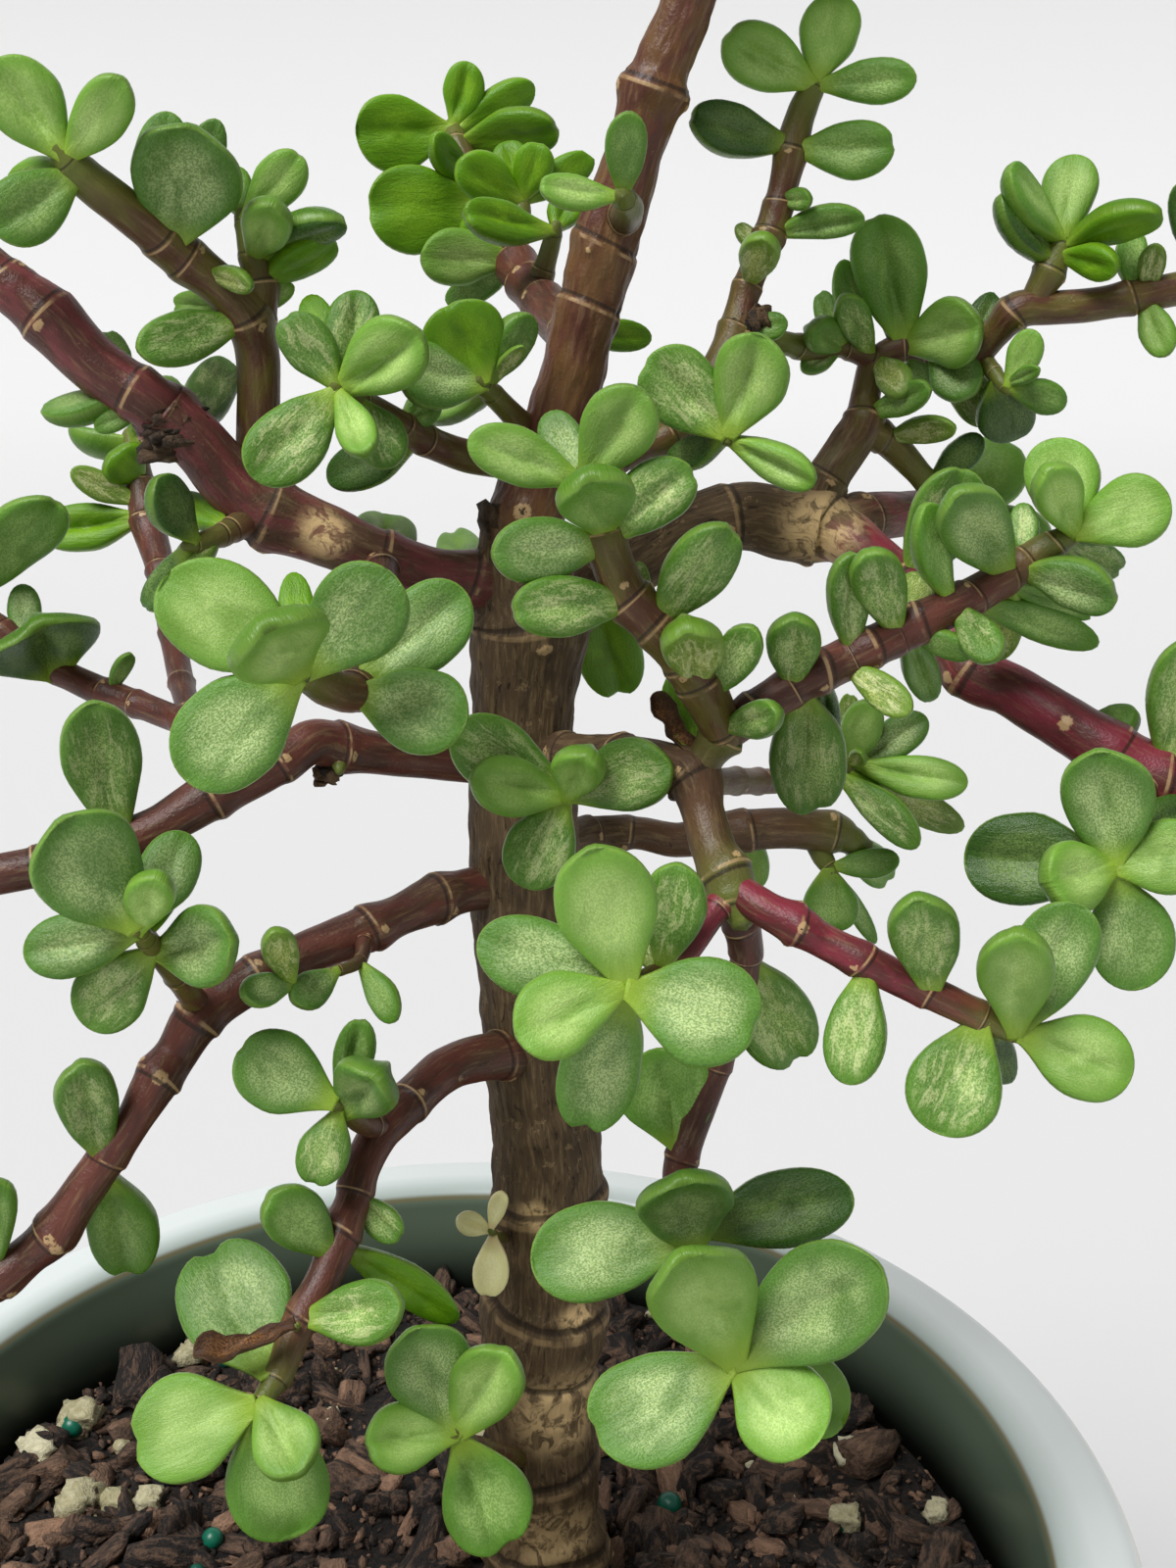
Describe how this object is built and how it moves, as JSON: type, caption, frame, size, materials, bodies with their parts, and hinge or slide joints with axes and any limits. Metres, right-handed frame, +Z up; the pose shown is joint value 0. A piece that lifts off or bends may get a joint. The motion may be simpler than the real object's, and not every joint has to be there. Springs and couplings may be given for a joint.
{
  "type": "potted elephant bush",
  "caption": "Small succulent tree with a jointed trunk, spreading leafy branches and a round tapered pot filled with bark soil.",
  "frame": {"origin": "centre of the pot's flat base, where it meets the surface it stands on", "axes": "+Z up along the pot's axis; -Y faces the viewer of the picture; +X is the picture's right"},
  "size_m": [0.1768, 0.165, 0.3345],
  "materials": {
    "pot": "smooth, pale outside and dark green inside",
    "soil": "loose bark chips and grit",
    "bark": "rough, ringed bark",
    "leaf": "fleshy, satin, cream speckled",
    "pale_leaf": "fleshy, pale yellow",
    "withered": "dry and crumpled"
  },
  "bodies": {
    "root": {"pot": "pot", "soil": "soil", "trunk": "bark", "upper_left_limb": "leaf", "upper_left_shoot": "leaf", "left_leader_rosette": "leaf", "upper_left_sprig": "leaf", "leader_sprout": "leaf", "back_top_cluster": "leaf", "upper_right_shoot": "leaf", "right_limb": "leaf", "right_top_branch": "leaf", "right_sprig": "leaf", "front_right_limb": "leaf", "front_centre_shoot": "leaf", "front_right_shoot": "leaf", "mid_right_shoot": "leaf", "back_right_limb": "leaf", "trunk_rosette": "leaf", "front_rosette": "leaf", "low_right_shoot": "leaf", "low_front_shoot": "leaf", "left_limb": "leaf", "left_rosette": "leaf", "back_left_shoot": "leaf", "far_back_shoot": "leaf", "lower_left_limb": "leaf", "low_left_cluster": "leaf", "lower_front_limb": "leaf", "withered_leaf": "withered", "low_centre_rosette": "leaf", "pale_sprout": "pale_leaf"}
  },
  "joints": []
}
